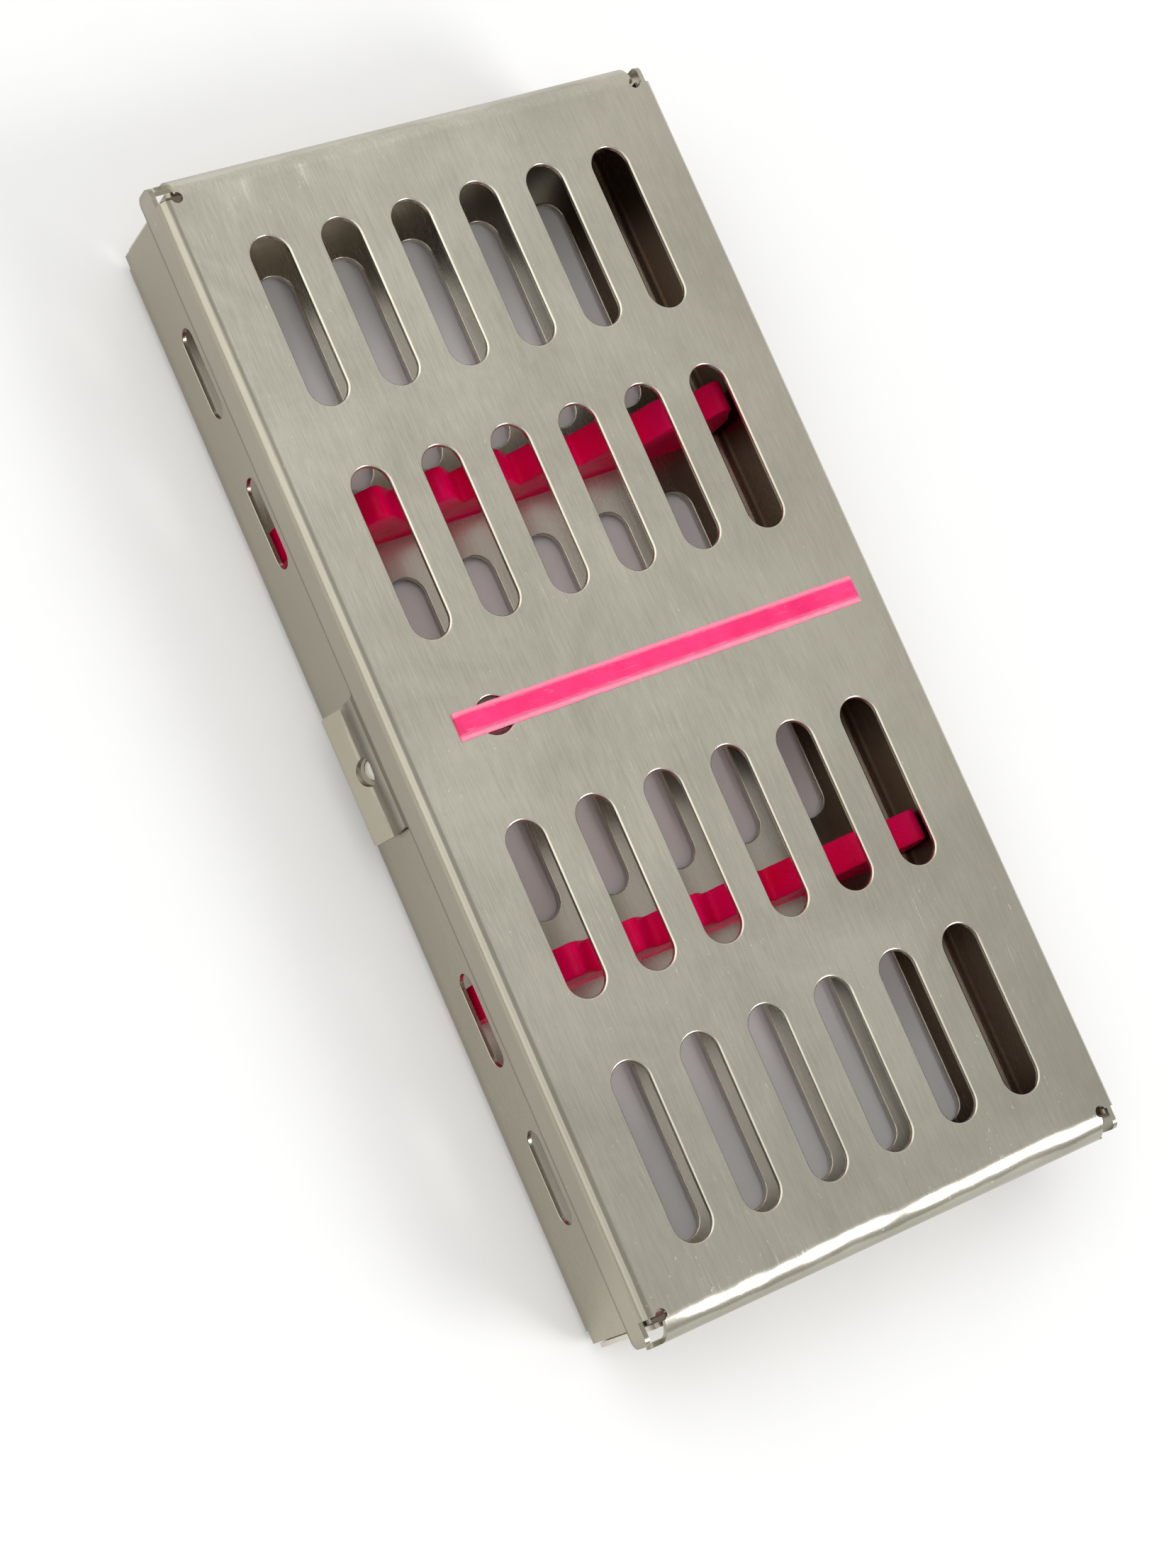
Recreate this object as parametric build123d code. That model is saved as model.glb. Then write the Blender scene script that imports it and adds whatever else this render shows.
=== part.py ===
from build123d import *
import os

# Stainless instrument cassette: a slotted pan on two silicone rails, a slotted lid
# hinged along the back, and a sprung latch tongue in the middle of the front.
# Millimetres. X runs along the case, the front is -Y, +Z is up. The origin is on the
# surface that the case stands on, under the middle of the case.

# Case
case_length = 201.5  # outside of the lid along X
case_width = 96.0  # outside of the lid along Y
case_height = 25.0  # underside of the floor to the top of the lid
sheet = 0.8  # thickness of every bent sheet
foot_height = 1.0  # the rail heads stand out this far under the floor

# Lid
flange_depth = 6.8
long_bend = 1.5  # outer bend radius of the front and back edges
short_bend = 4.5  # outer bend radius of the two ends
notch_x = 4.5  # corner relief, in from the end
notch_y = 3.6  # corner relief, in from the front or back
notch_hole = 1.0  # radius of the round relief in the corner of the notch
notch_hole_in = 0.2
flange_end = 0.7  # the front and back flanges stop this far short of the end
flange_corner = 1.4
end_tab = 1.9  # the end flanges run this far past their bend
end_tab_corner = 0.8
bend_overlap = 0.3  # flange tabs start this far below their bend
slot_width = 7.0
slot_rim = 0.4  # rolled rim of a punched lid slot
lid_slot_length = 30.2
lid_slot_pitch = 13.28
lid_rows = (-71.4, -30.0, 32.2, 73.6)
lid_columns = 6

# Pan
wall_gap = 0.6  # pan wall to lid flange, front and back
end_gap = 1.8  # pan wall to lid flange, at the ends
lid_gap = 1.0  # top of the pan walls to the lid sheet
pan_bend = 2.0
pan_corner = 1.1  # open gap between the end walls and the front and back walls
pan_relief = 3.3  # the bottom bends stop this far short of the end wall
relief_side = 2.6  # the relief reaches this far in from the front or back
relief_rise = 1.4  # and this far above the floor
relief_hole = 1.0
relief_hole_in = 0.4
floor_slot_pitch = 13.7
floor_slot_middle = -2.4  # the floor pattern sits this far from the middle
floor_slot_rim = 0.25
floor_columns = 6
floor_rows = ((-67.8, 39.8), (0.0, 62.3), (68.3, 39.8))  # middle and length of a row
wall_slot_length = 16.0
wall_slot_width = 4.5
wall_slot_rim = 0.2
wall_slot_places = (-71.3, -44.25, 43.25, 70.3)
wall_slot_drop = 13.5  # below the lid top

# Silicone rails in the pan and hold-down strip in the lid
head_width = 5.1
head_round = 0.7
neck_width = 2.2
neck_slot = 2.4
keyhole_radius = 3.2
keyhole_y = -32.4  # from the middle of a strip or rail
keyhole_rim = 0.4
rail_length = 88.0
rail_width = 5.7
rails = (("left", -41.3), ("right", 40.0))
crest_height = 15.6  # above the floor
seat_depth = 6.8
seat_pitch = 11.55
seat_count = 7
seat_middle = 0.3  # the middle seat sits this far behind the middle of the case
crest_flat = 2.0
crest_round = 0.6
seat_round = 1.4
foot_flare = 0.4
foot_rise = 1.0
strip_length = 80.2
strip_x = -0.2
strip_y = 3.0
strip_crown = 1.3  # above the lid
strip_inside = 3.1  # below the lid sheet
strip_chamfer = 2.0  # clears the back wall when the lid swings

# Latch
latch_x = -0.5
tongue_width = 22.4
tongue_corner = 1.7
root_round = 1.0
root_flat = 0.15
seam_drop = 8.0  # heights of the tongue's features, below the lid top
bend_drop = 8.9
eye_drop = 13.6
crease_drop = 14.3
tip_drop = 18.4
crease_in = 0.5  # the crease bends in towards the pan
lip_out = 1.4  # the thumb lip stands out past the flange
crease_round = 1.6
seam_gap = 0.03
eye_radius = 2.5
button_radius = 2.15
button_height = 1.2
button_shank = 1.2
button_tail = 1.7  # the riveted end inside the wall
button_tail_height = 0.6
button_tail_round = 0.4

# Hinges
hinges = (("left", -61.0), ("right", 61.0))
leaf = 0.6
leaf_round = 1.2
leaf_lap = 0.3  # the leaves run this far into their knuckles
barrel_radius = 1.5
barrel_gap = 0.1
leaf_gap = 0.4  # sheet of a leaf to the other leaf's knuckles
pin_radius = 0.75
running_gap = 0.05
knuckle_gap = 0.2
middle_knuckle = 11.0
outer_knuckle = 5.0
hinge_drop = 8.8  # axis below the lid top
pan_leaf_drop = 18.0
lid_leaf_drop = 2.3
pin_head_radius = 1.15
pin_head = 0.5
pin_head_round = 0.3

# Levels and faces worked out from the dimensions above
floor_z = foot_height
floor_top = floor_z + sheet
lid_top = floor_z + case_height
lid_under = lid_top - sheet
flange_z = lid_top - flange_depth
wall_top = lid_under - lid_gap
half_length = case_length / 2
half_width = case_width / 2
pan_x = half_length - sheet - end_gap
pan_y = half_width - sheet - wall_gap
wall_slot_z = lid_top - wall_slot_drop
eye_z = lid_top - eye_drop
seam_y = sheet / 2 - half_width
seam_z = lid_top - seam_drop
hinge_y = pan_y + barrel_gap + barrel_radius
hinge_z = lid_top - hinge_drop
hinge_width = middle_knuckle + 2 * (knuckle_gap + outer_knuckle)


def block(x0, x1, y0, y1, z0, z1):
    """A box from its lowest to its highest corner."""
    middle = Pos((x0 + x1) / 2, (y0 + y1) / 2, (z0 + z1) / 2)
    return middle * Box(x1 - x0, y1 - y0, z1 - z0)


def channel(plane, across, depth, bend, run):
    """Sheet bent into an upside-down U, with the top of its web at height 0."""
    top = (Align.CENTER, Align.MAX)
    outside = Rectangle(across, depth, align=top)
    outside = fillet(outside.vertices().group_by(Axis.Y)[-1], bend)
    inside = Pos(0, -sheet) * Rectangle(across - 2 * sheet, depth, align=top)
    inside = fillet(inside.vertices().group_by(Axis.Y)[-1], bend - sheet)
    return extrude(plane * (outside - inside), amount=run / 2, both=True)


def four_corners(piece):
    """The piece and its mirror images in both middle planes of the case."""
    pair = [piece, mirror(piece, about=Plane.YZ)]
    return pair + [mirror(one, about=Plane.XZ) for one in pair]


def slot_cutter(length, width):
    """A round-ended slot along X that cuts through one sheet at height 0."""
    return extrude(SlotOverall(length, width), amount=2 * sheet, both=True)


def keyhole_cutter(length):
    """A narrow slot along Y with a round hole, for threading a silicone strip."""
    narrow = Rot(0, 0, 90) * slot_cutter(length - 4 * neck_width, neck_slot)
    hole = Pos(0, keyhole_y, 0) * Cylinder(keyhole_radius, 4 * sheet)
    return narrow + hole


def rim_edges(part, level, reach_x, reach_y):
    """Edges of the slots in the flat face at a height, within reach of the middle."""
    found = []
    for edge in part.edges():
        middle = edge.center()
        box = edge.bounding_box()
        flat = abs(box.max.Z - level) < 1e-3 and abs(box.min.Z - level) < 1e-3
        if flat and abs(middle.X) < reach_x and abs(middle.Y) < reach_y:
            found.append(edge)
    return found


def make_lid():
    along = channel(Plane.YZ, case_width, flange_depth, long_bend, case_length - 2 * notch_x)
    across = channel(Plane.XZ, case_length, flange_depth, short_bend, case_width - 2 * notch_y)
    lid = Pos(0, 0, lid_top) * (along + across)
    # each flange runs on past its bend, to the side of the corner notch
    long_x = half_length - flange_end
    long_end = block(half_length - notch_x - 1, long_x, -half_width, sheet - half_width,
                     flange_z, lid_top - long_bend - bend_overlap)
    long_end = fillet(long_end.edges().filter_by(Axis.Y).group_by(Axis.X)[-1], flange_corner)
    short_y = notch_y - half_width
    short_end = block(half_length - sheet, half_length, short_y - end_tab, short_y + 1,
                      flange_z, lid_top - short_bend - bend_overlap)
    short_end = fillet(short_end.edges().filter_by(Axis.X).group_by(Axis.Y)[0], end_tab_corner)
    for tab in four_corners(long_end) + four_corners(short_end):
        lid += tab
    relief_x = half_length - notch_x + notch_hole_in
    relief = Pos(relief_x, notch_y - half_width - notch_hole_in, lid_top)
    for hole in four_corners(relief * Cylinder(notch_hole, 4 * sheet)):
        lid -= hole
    first = -lid_slot_pitch * (lid_columns - 1) / 2
    cutter = Pos(0, 0, lid_top) * slot_cutter(lid_slot_length, slot_width)
    for x in lid_rows:
        for column in range(lid_columns):
            lid -= Pos(x, first + column * lid_slot_pitch, 0) * cutter
    lid = fillet(rim_edges(lid, lid_top, 0.9 * half_length, 0.8 * half_width), slot_rim)
    # the strip's round hole has a rolled rim too; the narrow slot runs out of it
    hole_y = strip_y + keyhole_y
    lid -= Pos(strip_x, hole_y, lid_top) * Cylinder(keyhole_radius, 4 * sheet)
    hole_edges = []
    for edge in rim_edges(lid, lid_top, 2 * keyhole_radius, half_width):
        if edge.geom_type == GeomType.CIRCLE and abs(edge.center().Y - hole_y) < keyhole_radius:
            hole_edges.append(edge)
    lid = fillet(hole_edges, keyhole_rim)
    lid -= Pos(strip_x, strip_y, lid_top) * keyhole_cutter(strip_length)
    return lid + make_tongue_root()


def make_tongue_root():
    """The short neck of the front flange that the latch tongue flexes on."""
    half = tongue_width / 2
    neck = block(-half, half, -half_width, sheet - half_width, seam_z + root_flat, flange_z + 1)
    for side in (-1, 1):
        x = side * (half + root_round)
        web = block(min(x, side * half), max(x, side * half), -half_width,
                    sheet - half_width, flange_z - root_round, flange_z + bend_overlap)
        web -= Pos(x, seam_y, flange_z - root_round) * Rot(90, 0, 0) * Cylinder(root_round, 2)
        neck += web
    bed = Pos(0, seam_y, seam_z) * Rot(0, 90, 0) * Cylinder(sheet / 2 + seam_gap, 2 * half)
    return Pos(latch_x, 0, 0) * (neck - bed)


def make_pan():
    wall_run = 2 * (pan_x - pan_corner)
    end_run = 2 * (pan_y - pan_corner)
    depth = wall_top - floor_z
    along = channel(Plane.YZ, 2 * pan_y, depth, pan_bend, wall_run)
    across = channel(Plane.XZ, 2 * pan_x, depth, pan_bend, end_run)
    pan = Pos(0, 0, floor_z) * Rot(180, 0, 0) * (along + across)
    # the bottom bends stop short of each corner, and leave a round-ended relief
    gap_x = pan_x - pan_relief
    gap_y = pan_y - relief_side
    relief_z = floor_top + relief_rise
    cut = block(gap_x, pan_x + 1, -pan_y - 1, -gap_y, floor_z - 1, relief_z)
    round_end = Pos(gap_x + relief_hole_in, -gap_y, floor_z) * Cylinder(relief_hole, 4)
    for corner in four_corners(cut) + four_corners(round_end):
        pan -= corner
    first = floor_slot_middle - floor_slot_pitch * (floor_columns - 1) / 2
    for x, length in floor_rows:
        cutter = Pos(x, 0, floor_z) * slot_cutter(length, slot_width)
        for column in range(floor_columns):
            pan -= Pos(0, first + column * floor_slot_pitch, 0) * cutter
    pan = fillet(rim_edges(pan, floor_top, 0.92 * pan_x, 0.92 * pan_y), floor_slot_rim)
    for name, x in rails:
        pan -= Pos(x, 0, floor_z) * keyhole_cutter(rail_length)
    # four slots in the front wall, with their rims on the outside
    window = Rot(90, 0, 0) * slot_cutter(wall_slot_length, wall_slot_width)
    for x in wall_slot_places:
        pan -= Pos(x, sheet / 2 - pan_y, wall_slot_z) * window
    outer_rims = []
    for edge in pan.edges():
        box = edge.bounding_box()
        on_wall = abs(box.min.Y + pan_y) < 1e-3 and abs(box.max.Y + pan_y) < 1e-3
        in_row = abs(edge.center().Z - wall_slot_z) < 0.6 * wall_slot_width
        if on_wall and in_row and abs(edge.center().X) < 0.9 * pan_x:
            outer_rims.append(edge)
    pan = fillet(outer_rims, wall_slot_rim)
    shank = Pos(latch_x, -pan_y, eye_z) * Rot(90, 0, 0) * Cylinder(button_shank, 4 * sheet)
    return pan - shank


def make_rail(x):
    """A wavy silicone rail: head under the floor, neck in the floor, seats above it."""
    half = rail_length / 2
    step = seat_pitch / 2
    crest = floor_top + crest_height
    seat = crest - seat_depth
    outline = [(-half, floor_top), (-half, seat)]
    first = seat_middle - seat_count * step
    for index in range(seat_count + 1):
        y = first + index * seat_pitch
        outline += [(y - crest_flat / 2, crest), (y + crest_flat / 2, crest)]
        if index < seat_count:
            outline.append((y + step, seat))
    outline += [(half, seat), (half, floor_top)]
    side = make_face(Polyline(*outline, close=True))
    tops = [v for v in side.vertices() if abs(v.Y - crest) < 0.1]
    side = fillet(tops, crest_round)
    lows = [v for v in side.vertices() if abs(v.Y - seat) < 0.1 and abs(v.X) < half - 1]
    side = fillet(lows, seat_round)
    body = extrude(Plane.YZ * side, amount=rail_width / 2, both=True)
    wide = rail_width / 2 + foot_flare
    flare = Polyline((-wide, floor_top), (wide, floor_top), (rail_width / 2, floor_top + foot_rise),
                     (-rail_width / 2, floor_top + foot_rise), close=True)
    body += extrude(Plane.XZ * make_face(flare), amount=half, both=True)
    head = Pos(0, 0, floor_z) * Rot(180, 0, 0) * make_head(rail_length, foot_height)
    return Pos(x, 0, 0) * (body + make_neck(rail_length, floor_z, floor_top) + head)


def make_neck(length, z0, z1):
    """The part of a strip that fills the narrow slot in the sheet, clear of the round hole."""
    half = length / 2 - 5 * neck_width
    return block(-neck_width / 2, neck_width / 2, -half, half, z0, z1)


def make_head(length, height, end_cut=0.0):
    """The part of a strip outside the sheet, with rounded long edges, base at 0."""
    half = length / 2
    outline = [(-half, 0), (half, 0), (half, height - end_cut)]
    if end_cut:
        outline += [(half - end_cut, height), (end_cut - half, height)]
    outline.append((-half, height - end_cut))
    side = make_face(Polyline(*outline, close=True))
    head = extrude(Plane.YZ * side, amount=head_width / 2, both=True)
    return fillet(head.edges().filter_by(Axis.Y).group_by(Axis.Z)[-1], min(head_round, 0.9 * height))


def make_strip():
    """The hold-down strip: head over the lid, neck in its slot, cushion inside."""
    cushion = Rot(180, 0, 0) * make_head(strip_length, strip_inside, strip_chamfer)
    strip = make_head(strip_length, strip_crown) + make_neck(strip_length, -sheet, 0)
    strip += Pos(0, 0, -sheet) * cushion
    return Pos(strip_x, strip_y, lid_top) * strip


def make_tongue():
    """The latch tongue: straight neck, crease bent inwards, thumb lip bent outwards."""
    bend = (seam_y, lid_top - bend_drop)
    crease = (seam_y + crease_in, lid_top - crease_drop)
    tip = (seam_y - lip_out, lid_top - tip_drop + sheet / 2)
    line = FilletPolyline((seam_y, seam_z), bend, crease, tip, radius=crease_round)
    profile = make_face(offset(line, sheet / 2, side=Side.BOTH).edges())
    bent = extrude(Plane.YZ * profile, amount=tongue_width / 2, both=True)
    height = tip_drop - seam_drop + sheet
    outline = Rectangle(tongue_width, height, align=(Align.CENTER, Align.MAX))
    outline = Pos(0, sheet / 2 + 0.01) * outline
    outline = fillet(outline.vertices().group_by(Axis.Y)[0], tongue_corner)
    trim = extrude(Plane.XZ * outline, amount=10, both=True)
    tongue = bent & (Pos(0, seam_y, seam_z) * trim)
    eye = Pos(0, seam_y, eye_z) * Rot(90, 0, 0) * Cylinder(eye_radius, 10)
    return Pos(latch_x, 0, 0) * (tongue - eye)


def make_button():
    """A domed stud riveted through the front wall, which the tongue's eye drops over."""
    ball = (button_radius ** 2 + button_height ** 2) / (2 * button_height)
    dome = Pos(0, 0, button_height - ball) * Sphere(ball)
    dome &= Pos(0, 0, button_height) * Box(9, 9, 2 * button_height)
    shank = Pos(0, 0, -sheet / 2) * Cylinder(button_shank, sheet)
    tail = Pos(0, 0, -sheet - button_tail_height / 2) * Cylinder(button_tail, button_tail_height)
    tail = fillet(tail.edges().group_by(Axis.Z)[0], button_tail_round)
    return Pos(latch_x, -pan_y, eye_z) * Rot(90, 0, 0) * (dome + shank + tail)


def knuckle(x0, x1, bore):
    """A length of hinge barrel on the hinge axis."""
    tube = Cylinder(barrel_radius, x1 - x0) - Cylinder(bore, x1 - x0)
    return Pos((x0 + x1) / 2, hinge_y, hinge_z) * Rot(0, 90, 0) * tube


def make_pan_leaf(x):
    """Hinge leaf on the back wall, with the middle knuckle."""
    half = hinge_width / 2
    middle = middle_knuckle / 2
    low = lid_top - pan_leaf_drop
    plate = block(-half, half, pan_y, pan_y + leaf, low, hinge_z - barrel_radius - leaf_gap)
    plate = fillet(plate.edges().filter_by(Axis.Y).group_by(Axis.Z)[0], leaf_round)
    plate += block(-middle, middle, pan_y, pan_y + leaf, low + 2, hinge_z + leaf_lap)
    core = Pos(0, hinge_y, hinge_z) * Rot(0, 90, 0) * Cylinder(pin_radius, 2 * half)
    return Pos(x, 0, 0) * (plate + knuckle(-middle, middle, pin_radius) - core)


def make_lid_leaf(x):
    """Hinge leaf on the lid's back flange, with the two outer knuckles."""
    half = hinge_width / 2
    inner = half - outer_knuckle
    top = lid_top - lid_leaf_drop
    low = hinge_z + barrel_radius + leaf_gap
    plate = block(-half, half, half_width, half_width + leaf, low, top)
    plate = fillet(plate.edges().filter_by(Axis.Y).group_by(Axis.Z)[-1], leaf_round)
    bore = pin_radius + running_gap
    for x0, x1 in ((-half, -inner), (inner, half)):
        plate += block(x0, x1, half_width, half_width + leaf, hinge_z, top - 2)
        plate += knuckle(x0, x1, bore)
    core = Pos(0, hinge_y, hinge_z) * Rot(0, 90, 0) * Cylinder(bore, 2 * half)
    return Pos(x, 0, 0) * (plate - core)


def make_pin(x):
    """Hinge pin with a peened head on each end."""
    half = hinge_width / 2 + barrel_gap
    pin = Cylinder(pin_radius, 2 * half)
    for side in (-1, 1):
        head = Pos(0, 0, side * (half + pin_head / 2)) * Cylinder(pin_head_radius, pin_head)
        outer = head.edges().group_by(Axis.Z)[0 if side < 0 else -1]
        pin += fillet(outer, pin_head_round)
    return Pos(x, hinge_y, hinge_z) * Rot(0, 90, 0) * pin


nodes = {
    "lid_plate": make_lid(),
    "pan_tray": make_pan(),
    "hold_down_strip": make_strip(),
    "latch_tongue": make_tongue(),
    "latch_button": make_button(),
}
for name, x in rails:
    nodes[f"rest_rail_{name}"] = make_rail(x)
for name, x in hinges:
    nodes[f"hinge_leaf_pan_{name}"] = make_pan_leaf(x)
    nodes[f"hinge_leaf_lid_{name}"] = make_lid_leaf(x)
    nodes[f"hinge_pin_{name}"] = make_pin(x)

os.makedirs("parts", exist_ok=True)
for name, shape in nodes.items():
    export_step(shape, f"parts/{name}.step")
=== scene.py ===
import math

import bpy
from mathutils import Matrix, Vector, noise


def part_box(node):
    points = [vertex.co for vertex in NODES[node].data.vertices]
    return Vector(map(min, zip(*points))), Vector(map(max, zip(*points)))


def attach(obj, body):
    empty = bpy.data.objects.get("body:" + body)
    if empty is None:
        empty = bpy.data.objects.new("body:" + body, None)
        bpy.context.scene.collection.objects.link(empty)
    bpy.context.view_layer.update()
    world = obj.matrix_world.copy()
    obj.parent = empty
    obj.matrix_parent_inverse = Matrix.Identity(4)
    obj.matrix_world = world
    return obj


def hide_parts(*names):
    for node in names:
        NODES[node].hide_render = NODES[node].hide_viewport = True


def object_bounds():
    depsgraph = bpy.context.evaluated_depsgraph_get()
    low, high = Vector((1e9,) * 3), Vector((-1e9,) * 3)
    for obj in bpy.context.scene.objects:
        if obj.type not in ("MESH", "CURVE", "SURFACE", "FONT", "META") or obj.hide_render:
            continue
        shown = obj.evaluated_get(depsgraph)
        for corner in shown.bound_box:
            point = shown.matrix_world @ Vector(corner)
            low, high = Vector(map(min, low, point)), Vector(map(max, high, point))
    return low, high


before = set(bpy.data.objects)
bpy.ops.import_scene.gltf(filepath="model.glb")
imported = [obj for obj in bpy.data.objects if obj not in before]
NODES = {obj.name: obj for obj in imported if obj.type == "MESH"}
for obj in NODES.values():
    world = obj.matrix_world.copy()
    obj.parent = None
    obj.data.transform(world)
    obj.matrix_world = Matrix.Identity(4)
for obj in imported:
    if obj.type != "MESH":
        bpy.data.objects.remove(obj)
cad_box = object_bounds()

# Camera, in the frame of the case: metres and degrees
CAMERA_PLACE = (0.077556, -0.273673, 0.498343)
CAMERA_TURN = (17.9713, -23.1813, 64.2348)
CAMERA_LENS = 77.576
CAMERA_FILM = 36.0

# Silicone rails and strip: metres
FOOT = 0.001  # rail head under the floor
SHEET = 0.0008
NECK = 0.0022
HEAD = 0.0051
CROWN = 0.0013  # strip head above the lid
CUSHION_CUT = 0.002
SEAT_PITCH = 0.01155
SEAT_MIDDLE = 0.0003
SEAT_DEPTH = 0.0068
CREST_FLAT = 0.002
FOOT_FLARE = 0.0004

CREASE = 0.0117  # height of the tongue's crease
FLANGE = 0.0192  # height of the lid flange's lower edge
PAINTED_FRONT_REFLECTION = (0.34, 0.31, 0.24)  # painted reflection of the dim table that the front face reflects
WEAR_TONE = (0.84, 0.82, 0.75)

FLOOR_SIZE = 3.0
FLOOR_GAP = 0.0001

# The room's light by direction: a direction, then its strength between two cosines to it
ROOM = (
    ((-1.0, 0.1, 0.0), -0.3, 0.6, 0.52, 0.76),
    ((0.14, -0.49, 0.86), 0.93, 0.985, 1.0, 0.30),
)


# ---------------------------------------------------------------- node helpers


class Graph:
    """A material's nodes, with short calls for the few kinds that are used here."""

    def __init__(self, name):
        self.material = bpy.data.materials.new(name)
        self.material.use_nodes = True
        self.tree = self.material.node_tree
        self.tree.nodes.clear()
        output = self.tree.nodes.new("ShaderNodeOutputMaterial")
        self.shader = self.tree.nodes.new("ShaderNodeBsdfPrincipled")
        self.link(self.shader.outputs["BSDF"], output.inputs["Surface"])

    def link(self, source, target):
        self.tree.links.new(source, target)

    def feed(self, socket, value):
        """A socket takes another node's output, or a plain value."""
        if isinstance(value, bpy.types.NodeSocket):
            self.link(value, socket)
        else:
            socket.default_value = value

    def place(self):
        return self.tree.nodes.new("ShaderNodeTexCoord").outputs["Object"]

    def scaled(self, vector, scale):
        node = self.tree.nodes.new("ShaderNodeMapping")
        self.feed(node.inputs["Vector"], vector)
        node.inputs["Scale"].default_value = scale
        return node.outputs["Vector"]

    def noise(self, vector, scale, detail=2.0, rough=0.5, distortion=0.0):
        node = self.tree.nodes.new("ShaderNodeTexNoise")
        self.feed(node.inputs["Vector"], vector)
        node.inputs["Scale"].default_value = scale
        node.inputs["Detail"].default_value = detail
        node.inputs["Roughness"].default_value = rough
        node.inputs["Distortion"].default_value = distortion
        return node.outputs["Fac"]

    def span(self, value, low, high, to_low=0.0, to_high=1.0):
        node = self.tree.nodes.new("ShaderNodeMapRange")
        self.feed(node.inputs["Value"], value)
        node.inputs["From Min"].default_value = low
        node.inputs["From Max"].default_value = high
        node.inputs["To Min"].default_value = to_low
        node.inputs["To Max"].default_value = to_high
        return node.outputs["Result"]

    def math(self, kind, first, second=0.0):
        node = self.tree.nodes.new("ShaderNodeMath")
        node.operation = kind
        self.feed(node.inputs[0], first)
        self.feed(node.inputs[1], second)
        return node.outputs["Value"]

    def blend(self, factor, first, second):
        node = self.tree.nodes.new("ShaderNodeMix")
        node.data_type = "RGBA"
        self.feed(node.inputs["Factor"], factor)
        for index, colour in ((6, first), (7, second)):
            if not isinstance(colour, bpy.types.NodeSocket):
                colour = (*colour, 1.0)
            self.feed(node.inputs[index], colour)
        return node.outputs[2]

    def bump(self, height, distance, strength=1.0, under=None):
        node = self.tree.nodes.new("ShaderNodeBump")
        node.inputs["Strength"].default_value = strength
        node.inputs["Distance"].default_value = distance
        self.feed(node.inputs["Height"], height)
        if under is not None:
            self.feed(node.inputs["Normal"], under)
        return node.outputs["Normal"]


# ------------------------------------------------------------------- materials


def grain(g, place):
    """Fine brushed streaks along X, as two noises mixed, about 0 to 1."""
    fine = g.noise(g.scaled(place, (220.0, 5200.0, 5200.0)), 1.0, 3.0, 0.62)
    coarse = g.noise(g.scaled(place, (75.0, 1500.0, 1500.0)), 1.0, 5.0, 0.7)
    return g.math("ADD", g.math("MULTIPLY", fine, 0.6), g.math("MULTIPLY", coarse, 0.4))


def scuffs(g, place, limit, where):
    """Small bright knocks, most of them where the sheet gets rubbed."""
    specks = g.noise(g.scaled(place, (650.0, 1250.0, 1250.0)), 1.0, 4.0, 0.7, 0.5)
    patches = g.noise(place, 70.0, 2.0)
    patched = g.span(patches, 0.4, 0.65, 0.0, 0.030)
    lowered = g.math("ADD", patched, g.math("MULTIPLY", where, 0.035))
    return g.span(g.math("ADD", specks, lowered), limit, limit + 0.04)


def scratches(g, place, scale, turn):
    """Hair-thin scratches, as the crest lines of a stretched noise."""
    node = g.tree.nodes.new("ShaderNodeMapping")
    g.feed(node.inputs["Vector"], place)
    node.inputs["Rotation"].default_value = (0.0, 0.0, turn)
    node.inputs["Scale"].default_value = (scale * 0.09, scale, scale)
    line = g.math("ABSOLUTE", g.math("SUBTRACT", g.noise(node.outputs["Vector"], 1.0, 1.0), 0.5))
    rare = g.span(g.noise(place, 95.0, 2.0), 0.56, 0.66)
    return g.math("MULTIPLY", g.span(line, 0.004, 0.0, 0.0, 1.0), rare)


def steel(name, dark, light, roughness, look, tints=None):
    """Rolled stainless sheet: grain along X, clouds, knocks, scratches, and long soft waves."""
    g = Graph(name)
    place = g.place()
    streaks = grain(g, place)
    clouds = g.noise(place, 30.0, 6.0, 0.68, 0.4)
    tone = g.math("ADD", g.math("MULTIPLY", streaks, 0.5), g.math("MULTIPLY", clouds, 0.5))
    colour = g.blend(g.span(tone, 0.41, 0.59), dark, light)
    # Painted reflections and shade, where given, go over the sheet's own tone.
    for amount, tint in tints(g, place) if tints else ():
        colour = g.blend(amount, colour, tint)
    ends = g.span(g.math("ABSOLUTE", axis(g, place, "X")), 0.086, 0.0995)
    knocks = scuffs(g, place, look["scuff"], ends)
    lines = scratches(g, place, 700.0, 0.35)
    wear = g.math("MAXIMUM", knocks, g.math("MULTIPLY", lines, 0.4))
    colour = g.blend(g.math("MULTIPLY", wear, 0.6), colour, WEAR_TONE)
    g.feed(g.shader.inputs["Base Color"], colour)
    rough = g.span(tone, 0.3, 0.7, roughness - 0.05, roughness + 0.05)
    g.feed(g.shader.inputs["Roughness"], g.math("ADD", rough, g.math("MULTIPLY", wear, 0.1)))
    g.shader.inputs["Metallic"].default_value = 1.0
    waves = g.noise(g.scaled(place, (26.0, 46.0, 30.0)), 1.0, 2.0, 0.4)
    lively = g.math("ADD", g.math("MULTIPLY", ends, 1.0 - look["calm"]), look["calm"])
    swell = g.math("MULTIPLY", g.math("SUBTRACT", waves, 0.5), lively)
    bent = g.bump(swell, look["wave"], 1.0)
    brushed = g.bump(streaks, 0.00002, look["grain"], bent)
    g.feed(g.shader.inputs["Normal"], g.bump(wear, 0.00003, 0.4, brushed))
    return g.material


def band(g, value, low, high, soft):
    """One between two limits, nothing outside them."""
    return g.math("MULTIPLY", g.span(value, low, low + soft), g.span(value, high, high - soft))


def axis(g, place, name):
    node = g.tree.nodes.new("ShaderNodeSeparateXYZ")
    g.feed(node.inputs["Vector"], place)
    return node.outputs[name]


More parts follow.
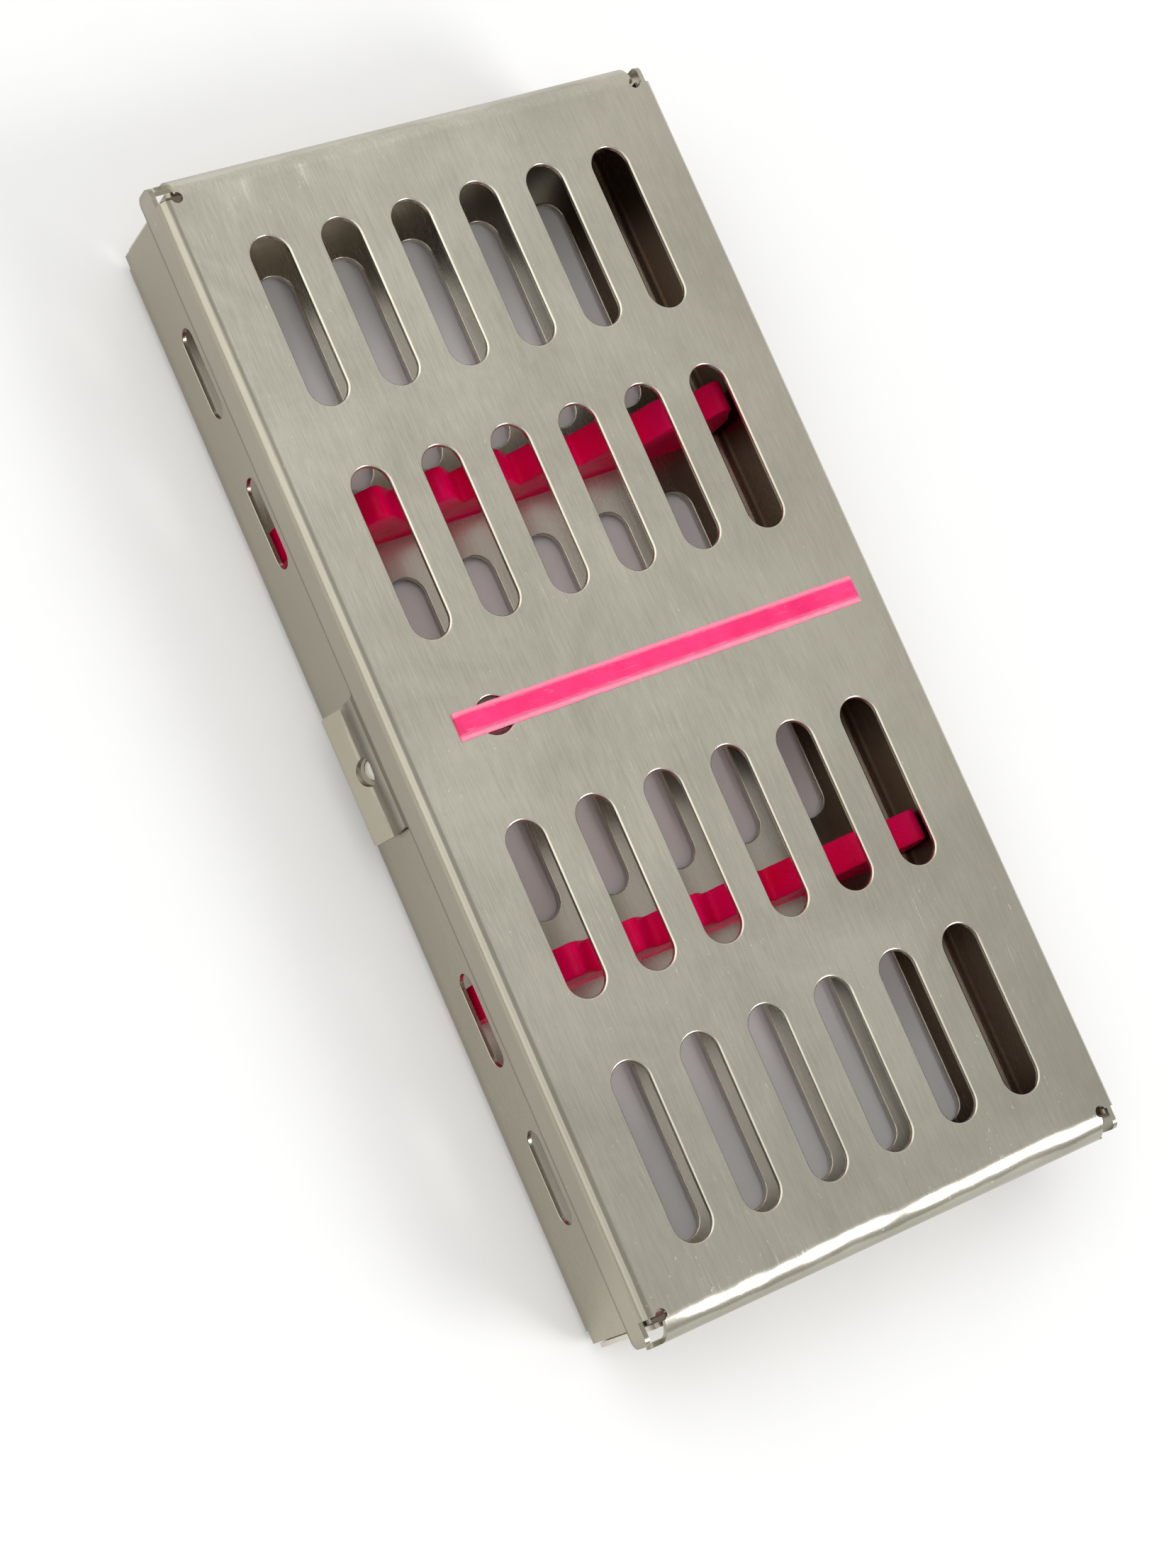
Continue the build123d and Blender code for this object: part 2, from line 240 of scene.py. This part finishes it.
def lid_painted_light(g, place):
    """Painted light on the lid: painted shade towards the rear and the +X end, painted shade along the
    front bend, the flange's lower edge and the ends, and a painted reflection of the grey table on the
    front flange.
    """
    x = axis(g, place, "X")
    y = axis(g, place, "Y")
    # Painted shade: the lid darkens towards its rear edge.
    painted_rear_shade = g.math("MULTIPLY", g.span(y, 0.012, 0.048), 0.38)
    # Painted shade: the lid darkens towards its +X end.
    right = g.math("MULTIPLY", g.span(x, 0.02, 0.09), 0.42)
    # Painted shade: a dark line along the front bend.
    painted_bend_shade = g.math("MULTIPLY", band(g, y, -0.0470, -0.0458, 0.0004), 0.6)
    z = axis(g, place, "Z")
    outer = g.span(y, -0.0474, -0.0479)
    # Painted reflection: the front flange takes the grey table's tone.
    flange = g.math("MULTIPLY", outer, 0.86)
    low_edge = g.span(z, FLANGE + 0.0006, FLANGE + 0.0001)
    # Painted shadow: a dark line at the flange's lower edge, over the pan's wall.
    edge = g.math("MULTIPLY", g.math("MULTIPLY", outer, low_edge), 0.75)
    # Painted shade over the front bend.
    painted_front_bend_shade = g.math("MULTIPLY", band(g, y, -0.0480, -0.0465, 0.0003), 0.72)
    # Painted shade: the end bends and flanges are darkened.
    ends = g.math("MULTIPLY", g.span(g.math("ABSOLUTE", x), 0.0985, 0.1004), 0.8)
    return ((painted_rear_shade, (0.42, 0.385, 0.30)), (right, (0.40, 0.385, 0.33)), (painted_front_bend_shade, (0.30, 0.28, 0.22)),
            (painted_bend_shade, (0.22, 0.20, 0.155)),
            (flange, PAINTED_FRONT_REFLECTION), (edge, (0.10, 0.085, 0.06)), (ends, (0.27, 0.26, 0.20)))


def pan_painted_light(g, place):
    """Painted light on the pan as it looks in a shut case, which isn't stains: painted shade towards the
    rear wall, a painted highlight along that wall's lower bend, a painted reflection of the grey table
    on the front face, and painted shade low on that face and just under the lid's flange.
    """
    y = axis(g, place, "Y")
    z = axis(g, place, "Z")
    # Painted shade: the inside darkens towards the rear wall.
    deep = g.math("MULTIPLY", band(g, y, 0.030, 0.0463, 0.0001), g.span(y, 0.030, 0.0455, 0.0, 1.0))
    # Painted reflection: the front face takes the grey table's tone.
    front = g.math("MULTIPLY", g.span(y, -0.0459, -0.0465), 0.86)
    # Painted shade: the front face darkens towards its bottom.
    painted_low_front_shade = g.math("MULTIPLY", g.math("MULTIPLY", g.span(z, 0.0050, 0.0022), front), 0.5)
    # Painted shadow: a darker band just under the lid's flange.
    shaded = g.span(z, FLANGE - 0.0011, FLANGE - 0.0002)
    painted_lid_shadow = g.math("MULTIPLY", g.math("MULTIPLY", shaded, front), 0.7)
    # Painted highlight: a light line along the rear wall's lower bend.
    line = g.math("MULTIPLY", band(g, z, 0.0036, 0.0050, 0.0006), band(g, y, 0.0440, 0.0463, 0.0001))
    glint = g.math("MULTIPLY", line, g.span(g.noise(place, 40.0, 2.0), 0.3, 0.6, 0.2, 0.6))
    return ((g.math("MULTIPLY", deep, 0.86), (0.125, 0.078, 0.055)), (glint, (0.60, 0.47, 0.38)),
            (front, PAINTED_FRONT_REFLECTION),
            (painted_low_front_shade, (0.17, 0.145, 0.11)), (painted_lid_shadow, (0.12, 0.10, 0.075)))


def tongue_painted_light(g, place):
    """Painted light on the tongue: a painted reflection of the grey table, a painted shade band above
    the crease and a painted highlight line along the crease.
    """
    z = axis(g, place, "Z")
    wander = g.math("MULTIPLY", g.math("SUBTRACT", g.noise(place, 240.0, 3.0), 0.5), 0.0016)
    level = g.math("ADD", z, wander)
    # Painted shade: a darker band above the crease.
    painted_band_shade = g.math("MULTIPLY", band(g, level, CREASE + 0.0004, CREASE + 0.0066, 0.0026), 0.8)
    # Painted highlight: a light line along the crease; it isn't wear.
    rubbed = g.math("MULTIPLY", band(g, level, CREASE - 0.0004, CREASE + 0.0007, 0.0004), 0.5)
    # Painted reflection: most of the tongue takes the grey table's tone.
    return ((0.8, PAINTED_FRONT_REFLECTION), (painted_band_shade, (0.12, 0.10, 0.075)), (rubbed, (0.60, 0.57, 0.48)))


def silicone(name, deep, bright, pale, gloss, shine, middle=None, half=0.0026):
    """Soft silicone: cloudy colour, folds and smears in its gloss, and paler thin edges."""
    g = Graph(name)
    place = g.place()
    clouds = g.noise(place, 120.0, 3.0, 0.6)
    smears = g.noise(g.scaled(place, (900.0, 260.0, 900.0)), 1.0, 4.0, 0.62, 1.2)
    skin = g.noise(place, 2600.0, 3.0, 0.6)
    colour = g.blend(g.span(clouds, 0.34, 0.66), deep, bright)
    if middle is not None:
        off = g.math("ABSOLUTE", g.math("SUBTRACT", axis(g, place, "X"), middle))
        wander = g.math("MULTIPLY", g.math("SUBTRACT", smears, 0.5), 0.0005)
        thin = g.span(g.math("ADD", off, wander), half * 0.50, half * 0.72)
        colour = g.blend(g.math("MULTIPLY", thin, 0.85), colour, pale)
    streak = g.span(smears, 0.60, 0.74)
    colour = g.blend(g.math("MULTIPLY", streak, 0.35), colour, pale)
    g.feed(g.shader.inputs["Base Color"], colour)
    rough = g.span(smears, 0.3, 0.72, gloss + 0.10, gloss - 0.06)
    g.feed(g.shader.inputs["Roughness"], rough)
    g.shader.inputs["Specular IOR Level"].default_value = shine
    g.shader.inputs["Subsurface Weight"].default_value = 0.12
    g.shader.inputs["Subsurface Radius"].default_value = (0.003, 0.0006, 0.001)
    g.shader.inputs["Subsurface Scale"].default_value = 1.0
    soft = g.bump(smears, 0.00012, 0.7)
    g.feed(g.shader.inputs["Normal"], g.bump(skin, 0.00002, 0.5, soft))
    return g.material


def floor_paint(name):
    g = Graph(name)
    mottle = g.noise(g.place(), 60.0, 3.0)
    g.feed(g.shader.inputs["Base Color"], g.blend(mottle, (0.90, 0.90, 0.90), (0.93, 0.93, 0.92)))
    g.shader.inputs["Roughness"].default_value = 0.85
    return g.material


# ---------------------------------------------------------------------- pieces


def loft(rings):
    """Vertices and faces of a closed skin through rings with the same number of points."""
    count = len(rings[0])
    points = [point for ring in rings for point in ring]
    faces = [tuple(range(count)), tuple(reversed(range(len(points) - count, len(points))))]
    for row in range(len(rings) - 1):
        base = row * count
        for index in range(count):
            after = (index + 1) % count
            faces.append((base + index, base + count + index, base + count + after, base + after))
    return points, faces


def make_piece(name, skins, material, sharp=50.0):
    """One object made of several closed skins."""
    points = []
    faces = []
    for skin_points, skin_faces in skins:
        start = len(points)
        points += skin_points
        faces += [tuple(start + index for index in face) for face in skin_faces]
    mesh = bpy.data.meshes.new(name)
    mesh.from_pydata(points, [], faces)
    mesh.shade_smooth()
    mesh.set_sharp_from_angle(angle=math.radians(sharp))
    mesh.materials.append(material)
    piece = bpy.data.objects.new(name, mesh)
    bpy.context.scene.collection.objects.link(piece)
    return piece


def stations(low, high, step):
    count = max(2, round((high - low) / step))
    return [low + (high - low) * index / count for index in range(count + 1)]


def ripple(x, y, z, size, seed=0.0):
    """Smooth random value in about -1 to 1, with features of a size in metres."""
    return noise.noise(Vector((x / size + seed, y / size + seed, z / size)))


def bar(x, half_width, y0, y1, z0, z1, round_top=0.0):
    """A plain bar along Y, with its upper (or lower) long edges rounded."""
    side = 1 if z1 > z0 else -1
    section = [(-half_width, z0)]
    for step in range(5):
        angle = math.pi / 2 * step / 4
        section.append((-half_width + round_top * (1 - math.cos(angle)),
                        z1 - side * round_top * (1 - math.sin(angle))))
    section += [(-px, pz) for px, pz in reversed(section)]
    rings = []
    for y in stations(y0, y1, 0.001):
        sway = 0.00004 * ripple(x, y, z1, 0.004)
        rings.append([(x + px + sway, y, pz) for px, pz in section])
    return loft(rings)


def rail_height(y, seed):
    """Height of a rail's wavy top over its seats, from 0 to 1."""
    along = (y - SEAT_MIDDLE) / SEAT_PITCH + 0.12 * ripple(0, y, 0, 0.03, seed)
    away = abs((along + 0.5) % 1.0 - 0.5) * SEAT_PITCH
    rise = away / (SEAT_PITCH / 2 - CREST_FLAT / 2)
    valley = math.sqrt(rise * rise + 0.02) - 0.02
    return 1.0 - math.log1p(math.exp((1.0 - valley) * 9.0)) / 9.0 if valley < 3 else 1.0


def make_rail(side, seed, material):
    """A rail with its wavy crest: cut edges that wander, small folds, and a slight bow."""
    low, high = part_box(f"rest_rail_{side}")
    x = (low.x + high.x) / 2
    base = low.z + FOOT + SHEET
    seat = high.z - SEAT_DEPTH
    half_foot = (high.x - low.x) / 2 - 0.00005
    half = half_foot - FOOT_FLARE
    rings = []
    for y in stations(low.y, high.y, 0.00035):
        end = min(y - low.y, high.y - y)
        level = seat + SEAT_DEPTH * rail_height(y, seed) * min(1.0, end / 0.0026)
        level = min(level + 0.00012 * ripple(0, y, 0, 0.006, seed) - 0.00015, high.z - 0.00005)
        bow = 0.00028 * math.cos(math.pi * y / (high.y - low.y)) * seed
        left = [(-half_foot, base), (-half_foot + 0.00012, base + 0.0004), (-half, base + 0.001)]
        for share in (0.2, 0.36, 0.52, 0.68, 0.84):
            left.append((-half, base + 0.001 + share * (level - base - 0.0015)))
        left += [(-half, level - 0.0003), (-half + 0.00007, level - 0.00008), (-half + 0.00024, level)]
        left += [(-half * 0.55, level + 0.00002), (-half * 0.2, level + 0.00002)]
        section = left + [(-px, pz) for px, pz in reversed(left)]
        ring = []
        for px, pz in section:
            free = min(1.0, max(0.0, (pz - base) / 0.002))
            fold = ripple(px, y * 0.6, pz, 0.0021, seed) + 0.5 * ripple(px, y, pz * 0.5, 0.0008, seed)
            shift_x = math.copysign(0.00007, px) * fold * free if abs(px) > 0.6 * half else 0.0
            shift_z = -0.00007 * abs(fold) * free if pz > level - 0.0004 else 0.0
            lean = bow * (1.0 - 0.4 * free)
            ring.append((x + px + shift_x + lean, y, pz + shift_z))
        rings.append(ring)
    neck = bar(x, NECK / 2, low.y + 5 * NECK, high.y - 5 * NECK, low.z + FOOT - 0.0002, base + 0.0002)
    head = bar(x, HEAD / 2 - 0.00005, low.y, high.y, low.z + FOOT, low.z, 0.0007)
    rail = make_piece(f"rail_{side}", [loft(rings), neck, head], material)
    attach(rail, "pan")
    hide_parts(f"rest_rail_{side}")


def make_strip(material):
    """The hold-down strip: a domed head with wandering edges and a rough front cut."""
    low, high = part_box("hold_down_strip")
    x = (low.x + high.x) / 2
    top = high.z - CROWN
    half = (high.x - low.x) / 2 - 0.0001
    outline = ((0.99, 0.0), (1.0, 0.14), (0.96, 0.32), (0.84, 0.42), (0.72, 0.50), (0.67, 0.66),
               (0.62, 0.82), (0.52, 0.91), (0.38, 0.95), (0.2, 0.965), (0.0, 0.97))
    left = [(-share * half, rise * CROWN) for share, rise in outline]
    section = left + [(-px, pz) for px, pz in reversed(left[:-1])]
    rings = []
    for y in stations(low.y + 0.0002, high.y - 0.0001, 0.0003):
        ring = []
        end = min(1.0, (y - low.y) / 0.0017, (high.y - y) / 0.0012)
        core = max(0.0, min(1.0, end * 1.6 - 0.4 + 0.5 * ripple(0, y, 0, 0.0009)))
        for px, pz in section:
            edge = 0.00009 * ripple(math.copysign(1.0, px), y, 0, 0.0022) * min(1.0, abs(px) / half)
            sag = 1.0 + 0.05 * ripple(px, y, 0, 0.0016) + 0.05 * ripple(0, y, 0, 0.007)
            tall = min(pz, 0.36 * CROWN) + max(0.0, pz - 0.36 * CROWN) * core
            ring.append((x + px + edge, y, top + min(tall * sag, 0.985 * CROWN)))
        rings.append(ring)
    for ring in (rings[0], rings[-1]):
        for index, (px, py, pz) in enumerate(ring):
            ragged = 0.0003 * (1 + ripple(px, 0, pz, 0.0009))
            ring[index] = (px, py + ragged if py < 0 else py - ragged, pz)
    neck = bar(x, NECK / 2, low.y + 5 * NECK, high.y - 5 * NECK, top - SHEET - 0.0002, top + 0.0002)
    under = top - SHEET
    cushion = bar(x, HEAD / 2 - 0.00005, low.y + CUSHION_CUT, high.y - CUSHION_CUT, under, low.z, 0.0007)
    shoulder = bar(x, HEAD / 2 - 0.0001, low.y, high.y, under, low.z + CUSHION_CUT, 0.0001)
    strip = make_piece("strip", [loft(rings), neck, cushion, shoulder], material)
    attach(strip, "lid")
    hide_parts("hold_down_strip")


# ----------------------------------------------------------------------- stage


def add_camera():
    data = bpy.data.cameras.new("camera")
    data.lens = CAMERA_LENS
    data.sensor_width = CAMERA_FILM
    camera = bpy.data.objects.new("camera", data)
    bpy.context.scene.collection.objects.link(camera)
    camera.location = CAMERA_PLACE
    camera.rotation_euler = [math.radians(angle) for angle in CAMERA_TURN]
    bpy.context.scene.camera = camera


def add_floor():
    half = FLOOR_SIZE / 2
    level = cad_box[0][2] - FLOOR_GAP
    mesh = bpy.data.meshes.new("floor")
    corners = [(-half, -half, level), (half, -half, level), (half, half, level), (-half, half, level)]
    mesh.from_pydata(corners, [], [(0, 1, 2, 3)])
    floor = bpy.data.objects.new("floor", mesh)
    bpy.context.scene.collection.objects.link(floor)
    mesh.materials.append(floor_paint("floor_paint"))


def add_light(name, place, aim, size, power):
    data = bpy.data.lights.new(name, "AREA")
    data.shape = "RECTANGLE"
    data.size, data.size_y = size
    data.energy = power
    light = bpy.data.objects.new(name, data)
    bpy.context.scene.collection.objects.link(light)
    light.location = place
    direction = Vector(aim) - Vector(place)
    light.rotation_euler = direction.to_track_quat("-Z", "Y").to_euler()


def add_world():
    """Soft white room, brighter to the left, with the dark shape of whoever stands in front."""
    world = bpy.data.worlds.new("studio")
    world.use_nodes = True
    tree = world.node_tree
    background = tree.nodes["Background"]
    toward = tree.nodes.new("ShaderNodeTexCoord").outputs["Generated"]
    strength = None
    for direction, low, high, to_low, to_high in ROOM:
        dot = tree.nodes.new("ShaderNodeVectorMath")
        dot.operation = "DOT_PRODUCT"
        tree.links.new(toward, dot.inputs[0])
        dot.inputs[1].default_value = Vector(direction).normalized()
        span = tree.nodes.new("ShaderNodeMapRange")
        tree.links.new(dot.outputs["Value"], span.inputs["Value"])
        span.inputs["From Min"].default_value = low
        span.inputs["From Max"].default_value = high
        span.inputs["To Min"].default_value = to_low
        span.inputs["To Max"].default_value = to_high
        part = span.outputs["Result"]
        if strength is not None:
            product = tree.nodes.new("ShaderNodeMath")
            product.operation = "MULTIPLY"
            tree.links.new(strength, product.inputs[0])
            tree.links.new(part, product.inputs[1])
            part = product.outputs["Value"]
        strength = part
    background.inputs["Color"].default_value = (1.0, 0.995, 0.98, 1.0)
    tree.links.new(strength, background.inputs["Strength"])
    bpy.context.scene.world = world


def add_lights():
    add_light("front_soft", (-0.45, -0.75, 1.0), (0, 0, 0), (2.2, 2.2), 15.0)
    add_light("window", (0.62, 0.50, 0.60), (0.09, 0, 0.02), (0.40, 0.40), 3.8)


add_camera()
add_floor()
add_world()
add_lights()
bpy.context.scene.view_settings.view_transform = "Standard"

LID = {"scuff": 0.712, "wave": 0.0042, "calm": 0.08, "grain": 0.5}
WORN = {"scuff": 0.76, "wave": 0.0005, "calm": 0.5, "grain": 0.5}
SMOOTH = {"scuff": 0.80, "wave": 0.00005, "calm": 1.0, "grain": 0.25}
satin = steel("satin_steel", (0.55, 0.525, 0.435), (0.71, 0.68, 0.575), 0.24, LID, lid_painted_light)
tray = steel("tray_steel", (0.54, 0.50, 0.425), (0.66, 0.62, 0.535), 0.26, WORN, pan_painted_light)
latch = steel("latch_steel", (0.54, 0.505, 0.43), (0.68, 0.645, 0.56), 0.24, WORN, tongue_painted_light)
plain = steel("plain_steel", (0.52, 0.49, 0.43), (0.62, 0.59, 0.52), 0.34, WORN)
polished = steel("polished_steel", (0.50, 0.48, 0.43), (0.62, 0.60, 0.54), 0.14, SMOOTH)
STRIP_X = -0.0002  # middle of the hold-down strip
PINK = ((0.84, 0.018, 0.15), (0.95, 0.045, 0.21), (1.0, 0.30, 0.44))
CRIMSON = ((0.94, 0.0, 0.07), (1.0, 0.0, 0.12), (1.0, 0.03, 0.22))
pink = silicone("pink_silicone", *PINK, 0.42, 0.3, STRIP_X)
crimson = silicone("crimson_silicone", *CRIMSON, 0.34, 0.08)

FINISH = {
    "lid_plate": satin,
    "pan_tray": tray,
    "latch_tongue": latch,
    "latch_button": polished,
}
SOFT = ("hold_down_strip", "rest_rail_left", "rest_rail_right")
for node_name, node in NODES.items():
    material = pink if node_name in SOFT else FINISH.get(node_name, plain)
    node.data.materials.clear()
    node.data.materials.append(material)

make_strip(pink)
make_rail("left", 1.0, crimson)
make_rail("right", -0.4, crimson)
